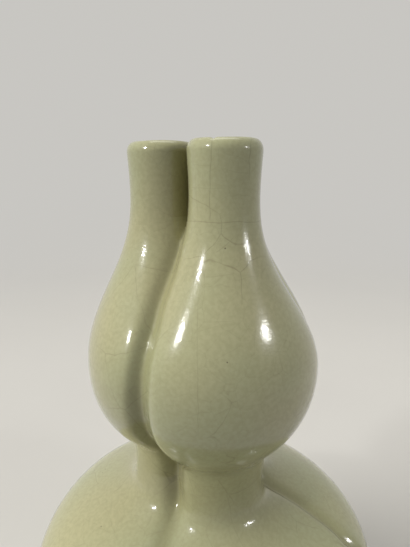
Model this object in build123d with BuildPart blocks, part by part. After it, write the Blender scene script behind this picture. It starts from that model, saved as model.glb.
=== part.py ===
from build123d import *
import os
from math import cos, hypot, pi, radians, sin

# A double gourd vase of three gourds grown together, in clay sections luted edge to edge. Each gourd is a
# lobe: a stack of level ellipses whose long axis lies along the vase's girth. The lobes meet in the vertical
# planes of the valleys and share one hollow, which opens into three necks. All sizes are in millimetres.

# Lobes, each placed by its direction from the vase's axis, in degrees
LOBES = {"front": -65, "left": 175, "back": 55}

# Heights, each one standing on the one before it, from the surface that the vase stands on
FOOT_HEIGHT = 6
BASE_THICKNESS = 8
BELLY_RISE = 68
BULB_RISE = 173
NECK_RISE = 95
NECK_LENGTH = 45

# Reach of a lobe: its outermost point's distance from the vase's axis
BELLY_REACH = 128
WAIST_REACH = 51.5
WAIST_FLARE = 3
BULB_REACH = 79.5

# Distance of a lobe's own axis from the vase's axis
BELLY_OFFSET = 27
WAIST_OFFSET = 23.5
BULB_OFFSET = 28.5

# Girth of a lobe: its ellipse's long radius over the short one
BELLY_GIRTH = 1.145
WAIST_GIRTH = 1.15
BULB_GIRTH = 1.265

# Curves of the outline: the height over which each one closes, and how full it is
BELLY_TUCK = 16
BELLY_FULLNESS = 2.3
SHOULDER_RISE = 67
SHOULDER_FULLNESS = 2.5
BULB_DROP = 73
BULB_FULLNESS = 2.25
BULB_EASE = 0.95
BULB_SLOPE = 2.2
NECK_FADE = 10

# Walls, necks and the middle of the waist's hollow
WALL = 6.5
NECK_RADIUS = 21.3
NECK_WALL = 5.8
NECK_GAP = 2.6
LIP_FLARE = 0.8
LIP_HEIGHT = 4
CORE_RADIUS = 12

# Foot ring
FOOT_RADIUS = 62
FOOT_WIDTH = 9
FOOT_CHAMFER = 1.5


def ease(fraction):
    """A smooth rise from 0 to 1 that starts and ends level."""
    return 0.5 - 0.5 * cos(pi * min(max(fraction, 0), 1))


def quarter(fraction, fullness):
    """A quarter of a superellipse: 1 at the start of its span and 0 at the end."""
    return (1 - min(fraction, 1) ** fullness) ** (1 / fullness)


def crossing(span, widest, fullness):
    """The part of a quarter's span that it takes to close in from its widest to the waist's end."""
    return span * (1 - (waist_end / widest) ** fullness) ** (1 / fullness)


base_top = FOOT_HEIGHT + BASE_THICKNESS
belly_height = base_top + BELLY_RISE
bulb_height = belly_height + BULB_RISE
neck_seam = bulb_height + NECK_RISE
rim_height = neck_seam + NECK_LENGTH
belly_drop = belly_height - FOOT_HEIGHT + BELLY_TUCK
waist_end = WAIST_REACH + WAIST_FLARE
waist_foot = belly_height + crossing(SHOULDER_RISE, BELLY_REACH, SHOULDER_FULLNESS)
waist_head = bulb_height - crossing(BULB_DROP, BULB_REACH, BULB_FULLNESS)
waist_middle = (waist_foot + waist_head) / 2
neck_bore = NECK_RADIUS - NECK_WALL
lip_radius = NECK_RADIUS + LIP_FLARE
neck_offset = (lip_radius + NECK_GAP / 2) / sin(pi / len(LOBES))
neck_reach = neck_offset + NECK_RADIUS


def lower_reach(height):
    """Outline of the lower bulb, from the foot over its widest ring to the waist."""
    if height < belly_height:
        return BELLY_REACH * quarter((belly_height - height) / belly_drop, BELLY_FULLNESS)
    return BELLY_REACH * quarter((height - belly_height) / SHOULDER_RISE, SHOULDER_FULLNESS)


def waist_reach(height):
    """Outline of the waist: a collar that flares a little towards both ends."""
    return WAIST_REACH + WAIST_FLARE * ((height - waist_middle) / (waist_head - waist_middle)) ** 2


def bulb_reach(height):
    """Outline of the upper bulb: round below its widest ring, and drawn out to the neck above it."""
    if height < bulb_height:
        return BULB_REACH * quarter((bulb_height - height) / BULB_DROP, BULB_FULLNESS)
    drop = max(neck_seam + NECK_FADE - height, 0) / (NECK_RISE + NECK_FADE)
    return neck_reach + (BULB_REACH - neck_reach) * sin(pi / 2 * drop**BULB_EASE) ** BULB_SLOPE


def along_height(height, belly, waist, bulb, neck):
    """A value given at the widest rings, the waist and the neck seam, eased between them."""
    levels = [(belly_height, belly), (waist_foot, waist), (waist_head, waist)]
    levels += [(bulb_height, bulb), (neck_seam, neck)]
    for (low, start), (high, end) in zip(levels, levels[1:]):
        if height <= high:
            return start + (end - start) * ease((height - low) / (high - low))
    return neck


def lobe_ellipse(height, reach):
    """Height of a lobe's ellipse, its offset from the vase's axis, and its short and long radius."""
    offset = along_height(height, BELLY_OFFSET, WAIST_OFFSET, BULB_OFFSET, neck_offset)
    girth = along_height(height, BELLY_GIRTH, WAIST_GIRTH, BULB_GIRTH, 1)
    return height, offset, reach - offset, (reach - offset) * girth


def spaced_heights(outline, low, high, count, steps=400):
    """Heights that are evenly spaced along the length of an outline."""
    fine = [low + (high - low) * step / steps for step in range(steps + 1)]
    lengths = [0]
    for start, end in zip(fine, fine[1:]):
        lengths.append(lengths[-1] + hypot(end - start, outline(end) - outline(start)))
    marks = [lengths[-1] * step / (count - 1) for step in range(count)]
    return [min(zip(lengths, fine), key=lambda pair: abs(pair[0] - mark))[1] for mark in marks]


def inset(height, outline, step=0.01):
    """The ellipse of a lobe's inside that lies one wall within its outside."""
    slope = (outline(height + step) - outline(height - step)) / (2 * step)
    depth = WALL / hypot(1, slope)
    _, offset, short, long = lobe_ellipse(height, outline(height))
    return height + slope * depth, offset, short - depth, long - depth


def raised(ellipse, rise):
    """The same ellipse at another height."""
    return (ellipse[0] + rise, *ellipse[1:])


def lobe_loft(ellipses):
    """A solid through the ellipses of a lobe that points along X."""
    with BuildPart() as lobe:
        for height, offset, short, long in ellipses:
            with BuildSketch(Plane((offset, 0, height), (0, 1, 0), (0, 0, 1))):
                Ellipse(long, short)
        loft()
    return lobe.part


def third(skin, low, high, *hollows):
    """A lobe's wall between two heights, with a flat luting face on each side."""
    far = 2 * BELLY_REACH
    side = pi / len(LOBES)
    with BuildPart() as wall:
        add(skin)
        with BuildSketch(Plane.XY.offset(low)):
            Polygon((0, 0), *[(far * cos(turn), far * sin(turn)) for turn in (-side, 0, side)], align=None)
        extrude(amount=high - low, mode=Mode.INTERSECT)
        for hollow in hollows:
            add(hollow, mode=Mode.SUBTRACT)
    return wall.part


# Outsides of the lower bulb, the waist and the upper bulb
lower_heights = spaced_heights(lower_reach, FOOT_HEIGHT, belly_height, 7)
lower_heights += spaced_heights(lower_reach, belly_height, waist_foot, 7)[1:]
waist_heights = spaced_heights(waist_reach, waist_foot, waist_head, 3)
bulb_heights = spaced_heights(bulb_reach, waist_head, neck_seam, 10)
lower_skin = lobe_loft([lobe_ellipse(height, lower_reach(height)) for height in lower_heights])
waist_skin = lobe_loft([lobe_ellipse(height, waist_reach(height)) for height in waist_heights])
bulb_skin = lobe_loft([lobe_ellipse(height, bulb_reach(height)) for height in bulb_heights])

# Insides, one wall within; the waist's runs on through the walls above and below it
lower_hollow = lobe_loft([inset(height, lower_reach) for height in lower_heights])
waist_insets = [inset(height, waist_reach) for height in waist_heights]
waist_insets = [raised(waist_insets[0], -2 * WALL), *waist_insets, raised(waist_insets[-1], 2 * WALL)]
waist_hollow = lobe_loft(waist_insets)
neck_mouth = (neck_seam, neck_offset, neck_bore, neck_bore)
bulb_insets = [inset(height, bulb_reach) for height in bulb_heights[:-1]]
bulb_hollow = lobe_loft([*bulb_insets, neck_mouth, raised(neck_mouth, WALL)])

# Middle of the waist's hollow, where the insides of the lobes run together
with BuildPart() as core:
    with BuildSketch(Plane.XY.offset(belly_height)):
        Circle(CORE_RADIUS)
    extrude(amount=bulb_height - belly_height)

lower_belly_third = third(lower_skin, base_top, belly_height, lower_hollow)
lower_shoulder_third = third(lower_skin, belly_height, rim_height, lower_hollow, waist_hollow, core.part)
waist_third = third(waist_skin, belly_height, rim_height, waist_hollow, core.part)
upper_belly_third = third(bulb_skin, belly_height, bulb_height, bulb_hollow, waist_hollow, core.part)
upper_shoulder_third = third(bulb_skin, bulb_height, rim_height, bulb_hollow)

os.makedirs("parts", exist_ok=True)

for lobe, azimuth in LOBES.items():
    # Neck: a straight tube that narrows a little under its rounded lip
    axis_x, axis_y = neck_offset * cos(radians(azimuth)), neck_offset * sin(radians(azimuth))
    seam_radius = bulb_reach(neck_seam) - neck_offset
    lip_foot = rim_height - LIP_HEIGHT
    neck_middle = (neck_seam + lip_foot) / 2
    with BuildPart() as neck:
        with BuildSketch(Plane((axis_x, axis_y, 0), (1, 0, 0), (0, -1, 0))):
            with BuildLine():
                Line((neck_bore, lip_foot), (neck_bore, neck_seam))
                Line((neck_bore, neck_seam), (seam_radius, neck_seam))
                Spline((seam_radius, neck_seam), (NECK_RADIUS, neck_middle), (lip_radius, lip_foot))
                ThreePointArc(
                    (lip_radius, lip_foot),
                    ((lip_radius + neck_bore) / 2, rim_height),
                    (neck_bore, lip_foot),
                )
            make_face()
        revolve(axis=Axis((axis_x, axis_y, 0), (0, 0, 1)))
    neck.part.label = f"neck_{lobe}"
    export_step(neck.part, f"parts/neck_{lobe}.step")

    # Third of the upper bulb above its widest ring
    with BuildPart() as upper_shoulder:
        add(upper_shoulder_third, rotation=(0, 0, azimuth))
    upper_shoulder.part.label = f"upper_shoulder_{lobe}"
    export_step(upper_shoulder.part, f"parts/upper_shoulder_{lobe}.step")

    # Third of the upper bulb below its widest ring
    with BuildPart() as upper_belly:
        add(upper_belly_third, rotation=(0, 0, azimuth))
    upper_belly.part.label = f"upper_belly_{lobe}"
    export_step(upper_belly.part, f"parts/upper_belly_{lobe}.step")

    # Third of the waist
    with BuildPart() as waist:
        add(waist_third, rotation=(0, 0, azimuth))
    waist.part.label = f"waist_{lobe}"
    export_step(waist.part, f"parts/waist_{lobe}.step")

    # Third of the lower bulb above its widest ring
    with BuildPart() as lower_shoulder:
        add(lower_shoulder_third, rotation=(0, 0, azimuth))
    lower_shoulder.part.label = f"lower_shoulder_{lobe}"
    export_step(lower_shoulder.part, f"parts/lower_shoulder_{lobe}.step")

    # Third of the lower bulb below its widest ring
    with BuildPart() as lower_belly:
        add(lower_belly_third, rotation=(0, 0, azimuth))
    lower_belly.part.label = f"lower_belly_{lobe}"
    export_step(lower_belly.part, f"parts/lower_belly_{lobe}.step")

# Base plate: the closed bottom under the three bellies
with BuildPart() as base_plate:
    for level in (FOOT_HEIGHT, base_top):
        _, offset, short, long = lobe_ellipse(level, lower_reach(level))
        with BuildSketch(Plane.XY.offset(level)):
            with PolarLocations(offset, len(LOBES), start_angle=LOBES["front"]):
                Ellipse(short, long)
    loft(ruled=True)
base_plate.part.label = "base_plate"
export_step(base_plate.part, "parts/base_plate.step")

# Foot ring, chamfered where it stands
with BuildPart() as foot_ring:
    with BuildSketch():
        Circle(FOOT_RADIUS)
        Circle(FOOT_RADIUS - FOOT_WIDTH, mode=Mode.SUBTRACT)
    extrude(amount=FOOT_HEIGHT)
    chamfer(foot_ring.edges().group_by(Axis.Z)[0], length=FOOT_CHAMFER)
foot_ring.part.label = "foot_ring"
export_step(foot_ring.part, "parts/foot_ring.step")
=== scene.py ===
from math import cos, pi, radians, sin

import bmesh
import bpy
import numpy as np
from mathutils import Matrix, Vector


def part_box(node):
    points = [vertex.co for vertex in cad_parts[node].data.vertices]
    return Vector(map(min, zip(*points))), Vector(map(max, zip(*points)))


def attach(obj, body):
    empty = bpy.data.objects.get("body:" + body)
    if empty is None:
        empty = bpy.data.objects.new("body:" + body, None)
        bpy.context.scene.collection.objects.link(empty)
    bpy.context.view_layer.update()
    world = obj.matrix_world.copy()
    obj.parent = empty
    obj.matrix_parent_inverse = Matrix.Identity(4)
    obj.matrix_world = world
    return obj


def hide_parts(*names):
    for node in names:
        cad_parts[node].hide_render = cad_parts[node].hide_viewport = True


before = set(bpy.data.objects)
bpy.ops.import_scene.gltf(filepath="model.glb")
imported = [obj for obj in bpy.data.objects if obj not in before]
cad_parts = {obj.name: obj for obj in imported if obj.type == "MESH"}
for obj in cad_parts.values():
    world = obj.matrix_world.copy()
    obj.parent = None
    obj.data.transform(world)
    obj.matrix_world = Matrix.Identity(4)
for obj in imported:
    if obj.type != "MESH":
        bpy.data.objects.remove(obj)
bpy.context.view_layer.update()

# The vase is shaped in millimetres, and MM turns them into the scene's metres
MM = 0.001


def levels_of(cad_node):
    """Heights at which a CAD node starts and ends, to a tenth of a millimetre."""
    return [round(corner.z / MM, 1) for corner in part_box(cad_node)]


# Heights of the seams between the CAD's nodes
FOOT_HEIGHT, BASE_TOP = levels_of("base_plate")
BELLY_HEIGHT, WAIST_FOOT = levels_of("lower_shoulder_front")
WAIST_HEAD, BULB_HEIGHT = levels_of("upper_belly_front")
NECK_SEAM, RIM_HEIGHT = levels_of("neck_front")
WAIST_MIDDLE = (WAIST_FOOT + WAIST_HEAD) / 2

# Levels of the body by the height at which each one starts
LEVELS = {"lower_belly": BASE_TOP, "lower_shoulder": BELLY_HEIGHT, "waist": WAIST_FOOT,
          "upper_belly": WAIST_HEAD, "upper_shoulder": BULB_HEIGHT}

# Lobes by their direction from the vase's axis, in degrees
LOBES = {"front": -65, "left": 175, "back": 55}

# Outline of a lobe: its reach from the vase's axis, the offset of its own axis, and its girth
BELLY_REACH, WAIST_REACH, BULB_REACH = 128, 51.5, 79.5
BELLY_OFFSET, WAIST_OFFSET, BULB_OFFSET, NECK_OFFSET = 27, 23.5, 28.5, 27
BELLY_GIRTH, WAIST_GIRTH, BULB_GIRTH, NECK_GIRTH = 1.145, 1.15, 1.265, 1

# Curves of the outline: the height over which each one closes, and how full it is
BELLY_DROP, BELLY_FULLNESS = 92, 2.3
SHOULDER_RISE, SHOULDER_FULLNESS = 67, 2.5
BULB_DROP, BULB_FULLNESS = 73, 2.25
BULB_EASE, BULB_SLOPE = 0.95, 2.2
WAIST_FLARE = 3
NECK_FADE = 10

# Soft corners of the outline at the foot and the head of the waist, by how far each is averaged up and down;
# the softening fades over CORNER_FADE times that
CORNERS = {WAIST_FOOT: 22, WAIST_HEAD: 11}
CORNER_FADE = 1.6

# Valleys by their direction in degrees: the furrow's width before and beyond it, and its depth on the lower
# bulb, all against the usual; DEEPER_SPAN is where that depth fades to the usual one
VALLEYS = {-5: (0.6, 0.5, 2.2), -125: (0.65, 1.15, 1.0), 115: (1.0, 1.0, 1.0)}
DEEPER_SPAN = (145, 175)

# Values by height: how softly the lobes run together, and the usual depth and width of the furrows; a furrow
# has its full depth from FURROW_START outwards
SOFTNESS = {14: 2.2, 82: 2.0, 150: 2.2, 200: 2.2, 255: 2.6, 310: 2.4, 345: 1.5}
FURROW_DEPTH = {14: 1.2, 82: 2.2, 140: 2.2, 160: 2.5, 175: 3, 205: 6.3, 225: 5.8, 255: 5, 290: 5,
                320: 2, 335: 0}
FURROW_WIDTH = {220: 8, 300: 7}
FURROW_START = 20

# The front lobe is narrower than a third: its two valleys are turned towards it, by degrees at each height,
# and the turn fades out over TURN_REACH degrees to each side
TURNS = {-125: {140: 8, 160: 5, 175: 2, 205: 3, 225: 2.5, 260: 4, 290: 3, 305: 1, 330: 0},
         -5: {14: -6, 82: -12, 124: -12, 135: -8, 140: -5, 145: -3, 175: 0}}
TURN_REACH = 50

# Unevenness of the walls, which fades towards the neck seam, and a flatter flank on the far right
UNEVEN_LEAST, UNEVEN_SCALE, UNEVEN_FADE = 0.25, 0.16, 30
FLAT_START, FLAT_RATE = 120, 0.025

# Walls, and the necks with their rounded lips, which stay a little inside the CAD's and under its rim
WALL = 6.5
NECK_RADIUS, NECK_BORE, NECK_UNEVEN, NECK_UNEVEN_SPAN = 21.3, 15.5, 0.12, 40
LIP_RADIUS, LIP_RISE, LIP_LEAN = 21.8, 6.5, 0.05
LIP_CREST, LIP_CREST_DROP = 1.4, 3
RIM_GAP = 0.2

# Nick in the front lip: its direction, depth and height in millimetres, and width in radians
NICK_AZIMUTH, NICK_DEPTH, NICK_HEIGHT, NICK_WIDTH = -113, 1.1, 3, 0.07

# Foot ring, which stands just clear of the floor
FOOT_RADIUS, FOOT_WIDTH, FOOT_EDGE, FLOOR_GAP = 62, 9, 1.5, 0.02

# Pooled glaze with painted shade, darker in the valleys' folds and round the waist under the upper bulb: its
# width beside a valley's fold, and how much of it lies round the waist and on the necks, where it is painted
# shade
POOL_AND_SHADE_WIDTH, WAIST_POOL_AND_SHADE, WAIST_POOL_AND_SHADE_SPAN, NECK_SHADE = 7, 0.5, 20, 1.5

# Fineness of the body's mesh: its grid, the room around it, and how near to a cut a point counts as on it
GRID, MARGIN, CUT_SNAP = 1.6, 4, 0.02

# Heights at which the outline is worked out
HEIGHT_STEP = 0.5
HEIGHTS = np.arange(-20, 420, HEIGHT_STEP)


def quarter(fraction, fullness):
    """A quarter of a superellipse: 1 at the start of its span and 0 at the end."""
    return (1 - np.clip(fraction, 0, 1) ** fullness) ** (1 / fullness)


def lobe_reach():
    """How far a lobe comes out from the vase's axis at each height, with soft corners at the waist."""
    neck, neck_foot = NECK_OFFSET + NECK_RADIUS, NECK_SEAM + NECK_FADE
    drop = np.clip((neck_foot - HEIGHTS) / (neck_foot - BULB_HEIGHT), 0, 1)
    upper_shoulder = neck + (BULB_REACH - neck) * np.sin(pi / 2 * drop**BULB_EASE) ** BULB_SLOPE
    upper_belly = BULB_REACH * quarter((BULB_HEIGHT - HEIGHTS) / BULB_DROP, BULB_FULLNESS)
    waist = WAIST_REACH + WAIST_FLARE * ((HEIGHTS - WAIST_MIDDLE) / (WAIST_HEAD - WAIST_MIDDLE)) ** 2
    lower_shoulder = BELLY_REACH * quarter((HEIGHTS - BELLY_HEIGHT) / SHOULDER_RISE, SHOULDER_FULLNESS)
    lower_belly = BELLY_REACH * quarter((BELLY_HEIGHT - HEIGHTS) / BELLY_DROP, BELLY_FULLNESS)
    tops = [BELLY_HEIGHT, WAIST_FOOT, WAIST_HEAD, BULB_HEIGHT]
    curves = [lower_belly, lower_shoulder, waist, upper_belly]
    sharp = np.select([HEIGHTS < top for top in tops], curves, upper_shoulder)
    reach = sharp
    for corner, span in CORNERS.items():
        steps = int(span / HEIGHT_STEP)
        window = np.hanning(2 * steps + 1)
        soft = np.convolve(np.pad(sharp, steps, mode="edge"), window / window.sum(), mode="valid")
        reach = reach + (soft - sharp) * np.exp(-((HEIGHTS - corner) / (CORNER_FADE * span)) ** 4)
    return reach


def eased(belly, waist, bulb, neck):
    """A value given at the widest rings, the waist and the neck seam, eased between them."""
    levels = [BELLY_HEIGHT, WAIST_FOOT, WAIST_HEAD, BULB_HEIGHT, NECK_SEAM]
    values = [belly, waist, waist, bulb, neck]
    place = np.interp(HEIGHTS, levels, range(len(levels)))
    low = np.clip(place.astype(int), 0, len(levels) - 2)
    rise = 0.5 - 0.5 * np.cos(pi * (place - low))
    return np.take(values, low) * (1 - rise) + np.take(values, low + 1) * rise


REACH = lobe_reach()
OFFSET = eased(BELLY_OFFSET, WAIST_OFFSET, BULB_OFFSET, NECK_OFFSET)
GIRTH = eased(BELLY_GIRTH, WAIST_GIRTH, BULB_GIRTH, NECK_GIRTH)


def by_height(z, values):
    """A value given at some heights, in straight lines between them."""
    return np.interp(z, list(values), list(values.values()))


def towards(points, azimuth):
    """How far points lie in a direction from the vase's axis, and how far aside of it."""
    x, y = points[:, 0], points[:, 1]
    across, along = cos(radians(azimuth)), sin(radians(azimuth))
    return x * across + y * along, y * across - x * along


def handmade(points):
    """Slight unevenness of the thrown walls, always inwards, in waves whose lengths don't fit each other."""
    x, y, z = points.T
    wave = np.sin(x / 31 + 1.3) * np.sin(y / 27 + 0.4) + np.sin(z / 23 + x / 60) + np.sin(z / 41 - y / 45 + 2)
    swell = UNEVEN_SCALE * (3 + wave) * np.clip((NECK_SEAM - z) / UNEVEN_FADE, 0, 1)
    return UNEVEN_LEAST + swell + FLAT_RATE * np.clip(x - FLAT_START, 0, None) ** 2


def turned(points):
    """Points turned about the vase's axis, from the real valleys' places to those of equal lobes."""
    x, y, z = points.T
    azimuth = np.degrees(np.arctan2(y, x))
    turn = 0
    for valley, degrees in TURNS.items():
        shift = by_height(z, degrees)
        apart = np.clip((azimuth - valley - shift + 180) % 360 - 180, -TURN_REACH, TURN_REACH)
        turn = turn - np.radians(shift) * np.cos(pi / 2 * apart / TURN_REACH) ** 2
    return np.stack([x * np.cos(turn) - y * np.sin(turn), x * np.sin(turn) + y * np.cos(turn), z], 1)


def furrows(points):
    """Depth of the soft furrows in which the lobes meet."""
    z = points[:, 2]
    wide = by_height(z, FURROW_WIDTH)
    total = 0
    for azimuth, (before, beyond, deeper) in VALLEYS.items():
        out, aside = towards(points, azimuth)
        sideways = aside / (wide * np.where(aside < 0, before, beyond))
        strength = np.interp(z, DEEPER_SPAN, [deeper, 1])
        total = total + strength * np.exp(-sideways**2) * np.clip(out / FURROW_START, 0, 1)
    return by_height(z, FURROW_DEPTH) * total


def field(points):
    """Nearly the distance from the vase's outside, below 0 within: three lobes that run together smoothly."""
    uneven = handmade(points)
    points = turned(points)
    z = points[:, 2]
    offset = np.interp(z, HEIGHTS, OFFSET)
    short = np.interp(z, HEIGHTS, REACH) - offset
    long = short * np.interp(z, HEIGHTS, GIRTH)
    soft = by_height(z, SOFTNESS)
    total = 0
    for azimuth in LOBES.values():
        out, aside = towards(points, azimuth)
        lobe = (np.sqrt(((out - offset) / short) ** 2 + (aside / long) ** 2) - 1) * np.sqrt(short * long)
        total = total + np.exp(np.clip(-lobe / soft, -60, 60))
    return uneven + furrows(points) - soft * np.log(total)


def slope(points, step=0.05):
    """Gradient of the field."""
    sides = []
    for axis in np.eye(3) * step:
        sides.append((field(points + axis) - field(points - axis)) / (2 * step))
    return np.stack(sides, 1)


def unit(vectors):
    """Vectors of length 1."""
    return vectors / np.linalg.norm(vectors, axis=1)[:, None]


def settle(points, rounds=6, longest=2):
    """Moves points onto the vase's outside."""
    for _ in range(rounds):
        rise = slope(points)
        points = points - np.clip(field(points) / (rise**2).sum(1), -longest, longest)[:, None] * rise
    return points


def surface_net(low, high):
    """Points and quads of the vase's outside on a regular grid."""
    axes = [np.arange(start, end + GRID, GRID) for start, end in zip(low, high)]
    grid = np.stack(np.meshgrid(*axes, indexing="ij"), -1)
    shape = grid.shape[:3]
    inside = (field(grid.reshape(-1, 3)) < 0).reshape(shape)
    cells = np.zeros([length - 1 for length in shape], int)
    for i, j, k in np.ndindex(2, 2, 2):
        cells += inside[i:shape[0] - 1 + i, j:shape[1] - 1 + j, k:shape[2] - 1 + k]
    crossed = (cells > 0) & (cells < 8)
    number = np.full(cells.shape, -1)
    number[crossed] = np.arange(crossed.sum())
    points = settle(grid[:-1, :-1, :-1][crossed] + GRID / 2)
    quads = []
    for axis in range(3):
        within = np.moveaxis(inside, axis, 0)
        cell = np.moveaxis(number, axis, 0)
        change = within[:-1, 1:-1, 1:-1] != within[1:, 1:-1, 1:-1]
        ring = [cell[:, :-1, :-1], cell[:, 1:, :-1], cell[:, 1:, 1:], cell[:, :-1, 1:]]
        around = np.stack([corner[change] for corner in ring], 1)
        outward = within[:-1, 1:-1, 1:-1][change] ^ (axis == 1)
        quads.append(np.where(outward[:, None], around, around[:, ::-1]))
    return points, np.concatenate(quads)


# Node helpers for the materials
def new_material(name):
    material = bpy.data.materials.new(name)
    material.use_nodes = True
    material.node_tree.nodes.clear()
    return material, material.node_tree


def node(tree, kind, inputs=(), **settings):
    """A new node, each of its inputs linked to a socket or set to a value."""
    made = tree.nodes.new(kind)
    for key, value in settings.items():
        setattr(made, key, value)
    for key, value in dict(inputs).items():
        if isinstance(value, bpy.types.NodeSocket):
            tree.links.new(value, made.inputs[key])
        else:
            made.inputs[key].default_value = value
    return made


def calc(tree, operation, *values):
    return node(tree, "ShaderNodeMath", dict(enumerate(values)), operation=operation).outputs[0]


def vector(tree, operation, *values):
    made = node(tree, "ShaderNodeVectorMath", dict(enumerate(values)), operation=operation)
    return made.outputs["Value" if operation in ("DOT_PRODUCT", "LENGTH") else "Vector"]


def blend(tree, amount, first, second):
    made = node(tree, "ShaderNodeMix", {0: amount, 6: first, 7: second}, data_type="RGBA")
    return made.outputs[2]


def fade(tree, value, low, high, start=0.0, end=1.0):
    ends = {"Value": value, "From Min": low, "From Max": high, "To Min": start, "To Max": end}
    return node(tree, "ShaderNodeMapRange", ends, interpolation_type="SMOOTHSTEP").outputs["Result"]


def noise(tree, place, scale, detail=2.0, output="Fac"):
    made = node(tree, "ShaderNodeTexNoise", {"Vector": place, "Scale": scale, "Detail": detail})
    return made.outputs[output]


def cell_edges(tree, place, scale, width):
    """1 along the edges of a net of cells, and 0 from a width away."""
    cells = node(tree, "ShaderNodeTexVoronoi", {"Vector": place, "Scale": scale}, feature="DISTANCE_TO_EDGE")
    return fade(tree, cells.outputs["Distance"], 0.0, width, 1.0, 0.0)


def show(tree, shader):
    """Makes a shader the material's surface."""
    tree.links.new(shader.outputs[0], node(tree, "ShaderNodeOutputMaterial").inputs[0])


def srgb(red, green, blue):
    """A colour as it is seen, in the values that a shader takes."""
    linear = [(c / 255 + 0.055) ** 2.4 / 1.055**2.4 if c > 10 else c / 3295 for c in (red, green, blue)]
    return (*linear, 1.0)


# Colours of the glaze, the clay, the floor and the studio all round
GLAZE, GLAZE_WARM, GLAZE_CLOUD = srgb(176, 178, 138), srgb(184, 179, 137), srgb(164, 161, 121)
# The darker olive of pooled glaze also paints shade in the folds, round the waist and on the necks where they
# face each other
GLAZE_POOLED_AND_SHADED, CRACKLE, IRON = srgb(136, 132, 90), srgb(96, 88, 58), srgb(70, 62, 40)
CLAY, CLAY_PALE, CLAY_GRIT = srgb(150, 126, 98), srgb(176, 154, 124), srgb(96, 80, 62)
FLOOR, FLOOR_SHADE, FLOOR_BOUNCE = srgb(214, 211, 204), srgb(208, 205, 198), srgb(120, 118, 114)
STUDIO = srgb(226, 224, 219)

# Longest crackle lines of the front lobe: two ends, the direction across the line, and how dark it is
CRACKS = [
    ((3, -44, 396), (3, -45, 350), (-0.92, 0.39, 0), 0.32),
    ((-14, -24, 350), (37, -24, 350), (0, 0, 1), 0.3),
    ((-7, -34, 380), (4, -45, 380), (0, 0, 1), 0.14),
    ((-8, -34, 367), (10, -46, 368), (0, 0, 1), 0.14),
    ((16, -47, 342), (6, -49, 334), (-0.6, 0.22, 0.77), 0.2),
    ((0, -53, 322), (16, -54, 323), (0.06, -0.43, -0.9), 0.16),
    ((-2, -56, 315), (-3, -78, 240), (-0.98, 0.19, -0.05), 0.16),
    ((8, -52, 192), (19, -48, 171), (-0.86, -0.13, -0.49), 0.22),
]
CRACK_WIDTH, CRACK_DRIFT = 0.4 * MM, 5 * MM
CRACK_ENDS = (0.85, 1.05)

# Patterns in the glaze and the clay: scales in features per metre, and how strongly each one shows
BEND_SCALE, BEND, BREAK_SCALE, DRIFT_SCALE = 22.0, 16 * MM, 30.0, 45.0
LONG_LINE_SCALE, LONG_LINE_WIDTH, LONG_LINE_STRENGTH = 25.0, 0.008, 0.3
FINE_LINE_SCALE, FINE_LINE_WIDTH, FINE_LINE_STRENGTH = 75.0, 0.025, 0.085
SPECK_SCALE, SPECK_LIMIT, SPECK_STRENGTH = 85.0, 0.72, 0.7
PEEL_SCALE, SLOW_PEEL_SCALE, FINE_PEEL_SCALE = 240.0, 55.0, 900.0
SLOW_PEEL, FINE_PEEL, PEEL_STRENGTH = 2.0, 1.5, 0.05
TONE_SCALE, CLOUD_SCALE, GLOSS_SCALE = 11.0, 420.0, 40.0
CLOUD_STRENGTH, POOL_AND_SHADE_STRENGTH = 0.5, 0.5
CLAY_SCALE, GRIT_SCALE, SAND_SCALE = 90.0, 420.0, 700.0
GRIT_STRENGTH, SAND_STRENGTH = 0.5, 0.4


def crack(tree, place, wander, start, end, across, strength):
    """A crackle line on the surface between two points, along the plane that faces across it."""
    start, end = Vector(start) * MM, Vector(end) * MM
    half = (end - start).length / 2
    apart = vector(tree, "SUBTRACT", place, (start + end) / 2)
    side = calc(tree, "ABSOLUTE", calc(tree, "ADD", vector(tree, "DOT_PRODUCT", apart, across), wander))
    line = fade(tree, side, 0.0, CRACK_WIDTH, strength, 0.0)
    near, far = (half * part for part in CRACK_ENDS)
    return calc(tree, "MULTIPLY", line, fade(tree, vector(tree, "LENGTH", apart), near, far, 1.0, 0.0))


def crackle_lines(tree, place):
    """Crackle: long lines that come and go, a fainter, closer net between them, and the longest lines."""
    bend = noise(tree, place, BEND_SCALE, 3.0, "Color")
    bent = vector(tree, "ADD", place, vector(tree, "MULTIPLY", bend, (BEND, BEND, BEND)))
    broken = fade(tree, noise(tree, place, BREAK_SCALE), 0.42, 0.62)
    long_lines = calc(tree, "MULTIPLY", cell_edges(tree, bent, LONG_LINE_SCALE, LONG_LINE_WIDTH), broken)
    fine_lines = cell_edges(tree, bent, FINE_LINE_SCALE, FINE_LINE_WIDTH)
    lines = calc(tree, "ADD", calc(tree, "MULTIPLY", long_lines, LONG_LINE_STRENGTH),
                 calc(tree, "MULTIPLY", fine_lines, FINE_LINE_STRENGTH))
    drift = calc(tree, "SUBTRACT", noise(tree, place, DRIFT_SCALE), 0.5)
    drift = calc(tree, "MULTIPLY", drift, CRACK_DRIFT)
    for start, end, across, strength in CRACKS:
        lines = calc(tree, "MAXIMUM", lines, crack(tree, place, drift, start, end, across, strength))
    return lines


def iron_specks(tree, place):
    """Small dark specks, only in some of their cells."""
    cells = node(tree, "ShaderNodeTexVoronoi", {"Vector": place, "Scale": SPECK_SCALE})
    spot = fade(tree, cells.outputs["Distance"], 0.025, 0.05, 1.0, 0.0)
    draw = node(tree, "ShaderNodeSeparateColor", {0: cells.outputs["Color"]}).outputs[0]
    chosen = calc(tree, "GREATER_THAN", draw, SPECK_LIMIT)
    return calc(tree, "MULTIPLY", calc(tree, "MULTIPLY", spot, chosen), SPECK_STRENGTH)


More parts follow.
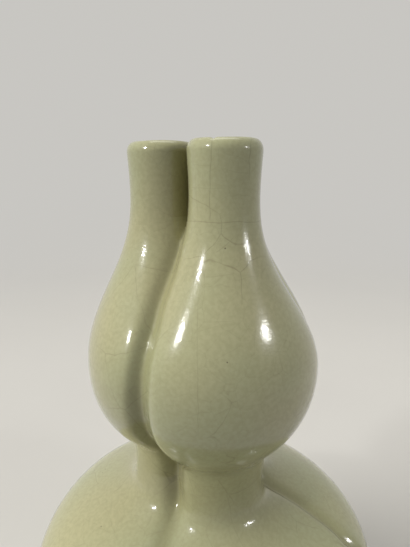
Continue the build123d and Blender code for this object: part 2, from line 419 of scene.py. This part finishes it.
def orange_peel(tree, place):
    """Fine unevenness of the glass, as a normal."""
    slow = calc(tree, "MULTIPLY", noise(tree, place, SLOW_PEEL_SCALE, 1.0), SLOW_PEEL)
    fine = calc(tree, "MULTIPLY", noise(tree, place, FINE_PEEL_SCALE, 1.0), FINE_PEEL)
    peel = calc(tree, "ADD", calc(tree, "ADD", noise(tree, place, PEEL_SCALE, 1.0), slow), fine)
    bump = node(tree, "ShaderNodeBump", {"Height": peel, "Strength": PEEL_STRENGTH, "Distance": MM})
    return bump.outputs["Normal"]


def glaze_material():
    """Celadon: a pale olive-green glass over grey clay, with sparse crackle, specks and a soft gloss."""
    material, tree = new_material("celadon_glaze")
    place = node(tree, "ShaderNodeTexCoord").outputs["Object"]
    tone = fade(tree, noise(tree, place, TONE_SCALE), 0.35, 0.65)
    cloud = fade(tree, noise(tree, place, CLOUD_SCALE, 4.0), 0.3, 0.7, 0.0, CLOUD_STRENGTH)
    pool_and_shade = node(tree, "ShaderNodeAttribute", attribute_name="pool_and_shade").outputs["Fac"]
    color = blend(tree, tone, GLAZE, GLAZE_WARM)
    color = blend(tree, cloud, color, GLAZE_CLOUD)
    # Darker where the glaze pools in the folds and round the waist, partly thick glaze and partly painted
    # shade, and painted shade on the necks
    color = blend(tree, calc(tree, "MULTIPLY", pool_and_shade, POOL_AND_SHADE_STRENGTH), color, GLAZE_POOLED_AND_SHADED)
    color = blend(tree, crackle_lines(tree, place), color, CRACKLE)
    color = blend(tree, iron_specks(tree, place), color, IRON)
    normal = orange_peel(tree, place)
    gloss = fade(tree, noise(tree, place, GLOSS_SCALE), 0.3, 0.7, 0.17, 0.23)
    show(tree, node(tree, "ShaderNodeBsdfPrincipled", {
        "Base Color": color, "Roughness": gloss, "IOR": 1.5, "Specular IOR Level": 0.4, "Normal": normal,
        "Coat Weight": 0.6, "Coat Roughness": 0.06, "Coat Normal": normal}))
    return material


def clay_material():
    """Bare grey-buff clay of the foot, sandy and worn where it stands."""
    material, tree = new_material("bare_clay")
    place = node(tree, "ShaderNodeTexCoord").outputs["Object"]
    color = blend(tree, noise(tree, place, CLAY_SCALE, 5.0), CLAY, CLAY_PALE)
    grit = node(tree, "ShaderNodeTexVoronoi", {"Vector": place, "Scale": GRIT_SCALE})
    color = blend(tree, fade(tree, grit.outputs["Distance"], 0.1, 0.25, GRIT_STRENGTH, 0.0), color, CLAY_GRIT)
    sand = noise(tree, place, SAND_SCALE, 4.0)
    bump = node(tree, "ShaderNodeBump", {"Height": sand, "Strength": SAND_STRENGTH, "Distance": 0.6 * MM})
    show(tree, node(tree, "ShaderNodeBsdfPrincipled", {
        "Base Color": color, "Roughness": 0.85, "Normal": bump.outputs["Normal"]}))
    return material


MATERIALS = {"celadon_glaze": glaze_material(), "bare_clay": clay_material()}


def make_piece(name, cad_node, points, normals, faces, slot, pool_and_shade):
    """A mesh piece that stands for one node, with the given normals and amount of pooled glaze and painted
    shade.
    """
    mesh = bpy.data.meshes.new(name)
    mesh.from_pydata((points * MM).tolist(), [], faces)
    mesh.polygons.foreach_set("use_smooth", [True] * len(mesh.polygons))
    mesh.normals_split_custom_set_from_vertices(normals.tolist())
    mesh.attributes.new("pool_and_shade", "FLOAT", "POINT").data.foreach_set("value", pool_and_shade)
    mesh.materials.append(MATERIALS[slot])
    piece = bpy.data.objects.new(name, mesh)
    bpy.context.collection.objects.link(piece)
    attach(piece, "root")
    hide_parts(cad_node)


def direction(azimuth):
    """Level vector of length 1 in a direction given in degrees."""
    return Vector((cos(radians(azimuth)), sin(radians(azimuth)), 0))


def valley_depth(points):
    """How deep in a valley a point lies, from 0 on a lobe's back to 1 in the fold."""
    sides = []
    for azimuth in VALLEYS:
        out, aside = towards(points, azimuth)
        sides.append(np.where(out > 0, np.abs(aside), np.inf))
    return np.exp(-(np.min(sides, axis=0) / POOL_AND_SHADE_WIDTH) ** 2)


def pooled_and_shaded(points):
    """Where the glaze ran thick and shade is painted: in the valleys, and a little round the waist under the
    upper bulb.
    """
    waist = np.exp(-((points[:, 2] - WAIST_MIDDLE) / WAIST_POOL_AND_SHADE_SPAN) ** 2)
    return valley_depth(turned(points)) + WAIST_POOL_AND_SHADE * waist


def cut_body():
    """The body's outside as one mesh, cut level at the seams and upright between the lobes."""
    side = BELLY_REACH + MARGIN
    points, quads = surface_net((-side, -side, MARGIN), (side, side, NECK_SEAM + MARGIN))
    whole = bpy.data.meshes.new("whole")
    whole.from_pydata(points.tolist(), [], quads.tolist())
    body = bmesh.new()
    body.from_mesh(whole)
    bpy.data.meshes.remove(whole)
    cuts = [((0, 0, height), (0, 0, 1)) for height in (*LEVELS.values(), NECK_SEAM)]
    cuts += [((0, 0, 0), direction(azimuth + 90)) for azimuth in VALLEYS]
    for point, normal in cuts:
        everything = body.verts[:] + body.edges[:] + body.faces[:]
        bmesh.ops.bisect_plane(body, geom=everything, dist=CUT_SNAP, plane_co=point, plane_no=normal)
    return body


def sections(body):
    """Faces of the cut body by the name of the node that they stand for."""
    ways = {lobe: direction(azimuth) for lobe, azimuth in LOBES.items()}
    found = {}
    for face in body.faces:
        middle = face.calc_center_median()
        if BASE_TOP < middle.z < NECK_SEAM:
            level = [name for name, foot in LEVELS.items() if middle.z > foot][-1]
            lobe = max(ways, key=lambda name: middle.dot(ways[name]))
            found.setdefault(f"{level}_{lobe}", []).append(face)
    return found


def wall_piece(name, faces):
    """One section of the wall: its outside, its inside and the rims between them."""
    verts = list(dict.fromkeys(vert for face in faces for vert in face.verts))
    number = {vert: place for place, vert in enumerate(verts)}
    count = len(verts)
    outside = np.array([vert.co[:] for vert in verts])
    normals = unit(slope(outside))
    loops = [[number[vert] for vert in face.verts] for face in faces]
    inner_loops = [[place + count for place in reversed(loop)] for loop in loops]
    edges = dict.fromkeys(edge for loop in loops for edge in zip(loop, loop[1:] + loop[:1]))
    rims = [[end, start, start + count, end + count] for start, end in edges if (end, start) not in edges]
    make_piece(f"{name}_wall", name, np.concatenate([outside, outside - WALL * normals]),
               np.concatenate([normals, -normals]), loops + inner_loops + rims, "celadon_glaze",
               np.tile(pooled_and_shaded(outside), 2))


def body_pieces():
    """Walls of the bulbs and the waist."""
    body = cut_body()
    for name, faces in sections(body).items():
        wall_piece(name, faces)
    body.free()


def lathe(name, cad_node, axis, profile, slot, segments, uneven=0.0, nick=None):
    """A ring or tube turned from a closed profile of radius and height."""
    profile = np.array(profile, float)
    along = np.gradient(profile, axis=0)
    facing = unit(np.stack([along[:, 1], -along[:, 0]], 1))
    turn = np.arange(segments) * 2 * pi / segments
    radius, height = profile[:, :1], profile[:, 1:]
    rise = np.clip((height - NECK_SEAM) / NECK_UNEVEN_SPAN, 0, 1)
    radius = radius - uneven * rise * (1 + np.sin(2 * turn + axis[0]))
    height = height - uneven * rise**4 * (1 + np.sin(3 * turn + axis[1]))
    if nick is not None:
        apart = (turn - radians(nick) + pi) % (2 * pi) - pi
        near_rim = np.clip((height - RIM_HEIGHT + NICK_HEIGHT) / NICK_HEIGHT, 0, 1)
        height = height - NICK_DEPTH * np.exp(-(apart / NICK_WIDTH) ** 2) * near_rim
    points = np.stack([axis[0] + radius * np.cos(turn), axis[1] + radius * np.sin(turn), height], -1)
    points = points.reshape(-1, 3)
    outward, upward = facing[:, :1], np.broadcast_to(facing[:, 1:], height.shape)
    normals = np.stack([outward * np.cos(turn), outward * np.sin(turn), upward], -1).reshape(-1, 3)
    faces = []
    for row in range(len(profile)):
        here, above = row * segments, (row + 1) % len(profile) * segments
        for step in range(segments):
            following = (step + 1) % segments
            faces.append([here + step, here + following, above + following, above + step])
    # Painted shade on the sides of the necks that face each other, darkest towards the planes of the valleys
    make_piece(name, cad_node, points, normals, faces, slot, NECK_SHADE * valley_depth(points))


def neck_profile():
    """From the seam up the outside, over the rounded lip and down the bore."""
    seam = np.interp(NECK_SEAM, HEIGHTS, REACH) - NECK_OFFSET - UNEVEN_LEAST
    lean = (np.interp(NECK_SEAM + 1, HEIGHTS, REACH) - np.interp(NECK_SEAM - 1, HEIGHTS, REACH)) / 2
    lip_foot = RIM_HEIGHT - RIM_GAP - LIP_RISE
    span = lip_foot - NECK_SEAM
    rise = np.linspace(0, 1, 24)
    outside = (seam * (1 + 2 * rise) * (1 - rise) ** 2 + lean * span * rise * (1 - rise) ** 2
               + LIP_RADIUS * rise**2 * (3 - 2 * rise) + LIP_LEAN * span * rise**2 * (rise - 1))
    crest = NECK_BORE + LIP_CREST
    bore_top = lip_foot + LIP_RISE - LIP_CREST_DROP
    outer = [(crest + (LIP_RADIUS - crest) * cos(turn), lip_foot + LIP_RISE * sin(turn))
             for turn in np.linspace(0, pi / 2, 13)[1:]]
    inner = [(crest - LIP_CREST * sin(turn), bore_top + LIP_CREST_DROP * cos(turn))
             for turn in np.linspace(0, pi / 2, 6)[1:]]
    down = [(NECK_BORE, height) for height in np.linspace(bore_top, NECK_SEAM, 12)[1:]]
    return [*zip(outside, NECK_SEAM + rise * span), *outer, *inner, *down]


def foot_profile():
    """Down the inside of the foot ring, across where it stands and up the outside, with rounded edges."""
    corner = [(0, FOOT_HEIGHT), (0, FOOT_EDGE), (0.4 * FOOT_EDGE, 0.4 * FOOT_EDGE), (FOOT_EDGE, FLOOR_GAP)]
    inner = [(FOOT_RADIUS - FOOT_WIDTH + inset, height) for inset, height in corner]
    outer = [(FOOT_RADIUS - inset, height) for inset, height in reversed(corner)]
    return inner + outer


def body_ring(height, turn, rounds=30):
    """Points of the vase's outside all round at one height, found by halving."""
    circle = np.stack([np.cos(turn), np.sin(turn), 0 * turn], 1)
    lift = np.array([0, 0, height])
    near, far = np.zeros_like(turn), np.full_like(turn, BELLY_REACH)
    for _ in range(rounds):
        middle = (near + far) / 2
        inside = field(middle[:, None] * circle + lift) < 0
        near, far = np.where(inside, middle, near), np.where(inside, far, middle)
    return near[:, None] * circle + lift


def base_piece(count=240):
    """Closed bottom under the three bellies, glazed down to the foot ring."""
    turn = np.arange(count) * 2 * pi / count
    rings = [body_ring(height, turn) for height in np.linspace(BASE_TOP, FOOT_HEIGHT, 3)]
    side = np.concatenate(rings)
    down, up = np.tile([0, 0, -1], (count, 1)), np.tile([0, 0, 1], (count, 1))
    faces = [list(range(4 * count - 1, 3 * count - 1, -1)), list(range(4 * count, 5 * count))]
    for above in (0, count):
        below = above + count
        for step in range(count):
            following = (step + 1) % count
            faces.append([above + step, below + step, below + following, above + following])
    points = np.concatenate([side, rings[-1], rings[0]])
    normals = np.concatenate([unit(slope(side)), down, up])
    make_piece("base_plate_glazed", "base_plate", points, normals, faces, "celadon_glaze",
               np.zeros(len(points)))


body_pieces()
for lobe, azimuth in LOBES.items():
    nick = NICK_AZIMUTH if lobe == "front" else None
    lathe(f"neck_{lobe}_tube", f"neck_{lobe}", NECK_OFFSET * direction(azimuth), neck_profile(),
          "celadon_glaze", segments=128, uneven=NECK_UNEVEN, nick=nick)
lathe("foot_ring_turned", "foot_ring", (0, 0), foot_profile(), "bare_clay", segments=144)
base_piece()

# The stage is in metres: floor, sweep and wall, the distances over which they fade into the studio, and the
# studio's brightness as it is seen and as a light
FLOOR_FRONT, FLOOR_BACK, FLOOR_HALF_WIDTH, SWEEP_RADIUS, SWEEP_TOP = -4, 1.2, 5, 0.8, 5
FADE_START, FADE_END = 0.5, 2.0
STUDIO_SEEN, STUDIO_LIGHT = 0.76, 0.15


def seen_directly(tree):
    """1 for what the camera sees, also in a reflection or through glass, and 0 for light thrown on."""
    rays = node(tree, "ShaderNodeLightPath")
    seen = calc(tree, "MAXIMUM", rays.outputs["Is Camera Ray"], rays.outputs["Is Glossy Ray"])
    return calc(tree, "MAXIMUM", seen, rays.outputs["Is Transmission Ray"])


def floor_material():
    """Plain and pale, fading into the studio with distance, and throwing little light back."""
    material, tree = new_material("pale_floor")
    place, seen = node(tree, "ShaderNodeTexCoord").outputs["Object"], seen_directly(tree)
    color = blend(tree, noise(tree, place, 3.0), FLOOR, FLOOR_SHADE)
    color = blend(tree, seen, FLOOR_BOUNCE, color)
    shader = node(tree, "ShaderNodeBsdfPrincipled", {"Base Color": color, "Roughness": 0.7})
    studio = node(tree, "ShaderNodeEmission", {"Color": STUDIO, "Strength": STUDIO_SEEN})
    far = calc(tree, "MULTIPLY", seen, fade(tree, vector(tree, "LENGTH", place), FADE_START, FADE_END))
    show(tree, node(tree, "ShaderNodeMixShader", {0: far, 1: shader.outputs[0], 2: studio.outputs[0]}))
    return material


def backdrop():
    """Floor that sweeps up into a wall."""
    sweep = [(FLOOR_FRONT, 0)]
    for turn in np.linspace(0, pi / 2, 17):
        sweep.append((FLOOR_BACK + SWEEP_RADIUS * sin(turn), SWEEP_RADIUS - SWEEP_RADIUS * cos(turn)))
    sweep.append((FLOOR_BACK + SWEEP_RADIUS, SWEEP_TOP))
    points = [(side, y, z) for y, z in sweep for side in (-FLOOR_HALF_WIDTH, FLOOR_HALF_WIDTH)]
    mesh = bpy.data.meshes.new("floor")
    mesh.from_pydata(points, [], [(2 * i, 2 * i + 1, 2 * i + 3, 2 * i + 2) for i in range(len(sweep) - 1)])
    mesh.polygons.foreach_set("use_smooth", [True] * len(mesh.polygons))
    mesh.materials.append(floor_material())
    floor = bpy.data.objects.new("floor", mesh)
    bpy.context.collection.objects.link(floor)


backdrop()

# Camera: a wide lens close to the vase, at the height of its necks, its focal length in the photo's pixels
CAMERA_PLACE, CAMERA_PITCH = (0.0002, -0.267, 0.377), 0.244
FOCAL_LENGTH, PHOTO_WIDTH, SENSOR_WIDTH = 411, 410, 36

camera = bpy.data.objects.new("camera", bpy.data.cameras.new("camera"))
bpy.context.collection.objects.link(camera)
camera.location = CAMERA_PLACE
camera.rotation_euler = (pi / 2 - CAMERA_PITCH, 0, 0)
camera.data.sensor_fit = "HORIZONTAL"
camera.data.sensor_width = SENSOR_WIDTH
camera.data.lens = SENSOR_WIDTH * FOCAL_LENGTH / PHOTO_WIDTH
camera.data.clip_start = 0.01
bpy.context.scene.camera = camera


def lamp(name, kind, place, aim=(0, 0, 0.25), **settings):
    """A lamp that points at the vase, or elsewhere. One of the kind SUN isn't mirrored in the glaze."""
    light = bpy.data.lights.new(name, kind)
    for key, value in settings.items():
        setattr(light, key, value)
    made = bpy.data.objects.new(name, light)
    made.location = place
    made.rotation_euler = (Vector(aim) - Vector(place)).to_track_quat("-Z", "Y").to_euler()
    made.visible_glossy = kind != "SUN"
    bpy.context.collection.objects.link(made)


# Three broad soft lights, two small lamps that give the highlights, and a light on the wall behind
lamp("soft_left", "SUN", (-1.85, -0.4, 1.5), energy=2.25, angle=radians(45))
lamp("soft_right", "SUN", (1.9, -0.5, 1.1), energy=0.1, angle=radians(45))
lamp("soft_top", "SUN", (0.1, 0.2, 2.4), energy=0.9, angle=radians(50))
lamp("spark_left", "AREA", (-1.52, -1.0, 1.3), energy=7.5, shape="ELLIPSE", size=0.19, size_y=0.1)
lamp("spark_right", "AREA", (1.74, -0.85, 0.84), energy=6.5, shape="ELLIPSE", size=0.42, size_y=0.09)
lamp("soft_back", "AREA", (0, 0.6, 2.6), aim=(0, 1.8, 0.6), energy=13, size=1.6)


def studio_world():
    """Dim, even light from all round, with a pale studio in view and in the glaze's reflections."""
    world = bpy.data.worlds.new("studio")
    world.use_nodes = True
    tree = world.node_tree
    background = tree.nodes["Background"]
    background.inputs["Color"].default_value = STUDIO
    strength = fade(tree, seen_directly(tree), 0.0, 1.0, STUDIO_LIGHT, STUDIO_SEEN)
    tree.links.new(strength, background.inputs["Strength"])
    return world


bpy.context.scene.world = studio_world()
bpy.context.scene.view_settings.view_transform = "Standard"
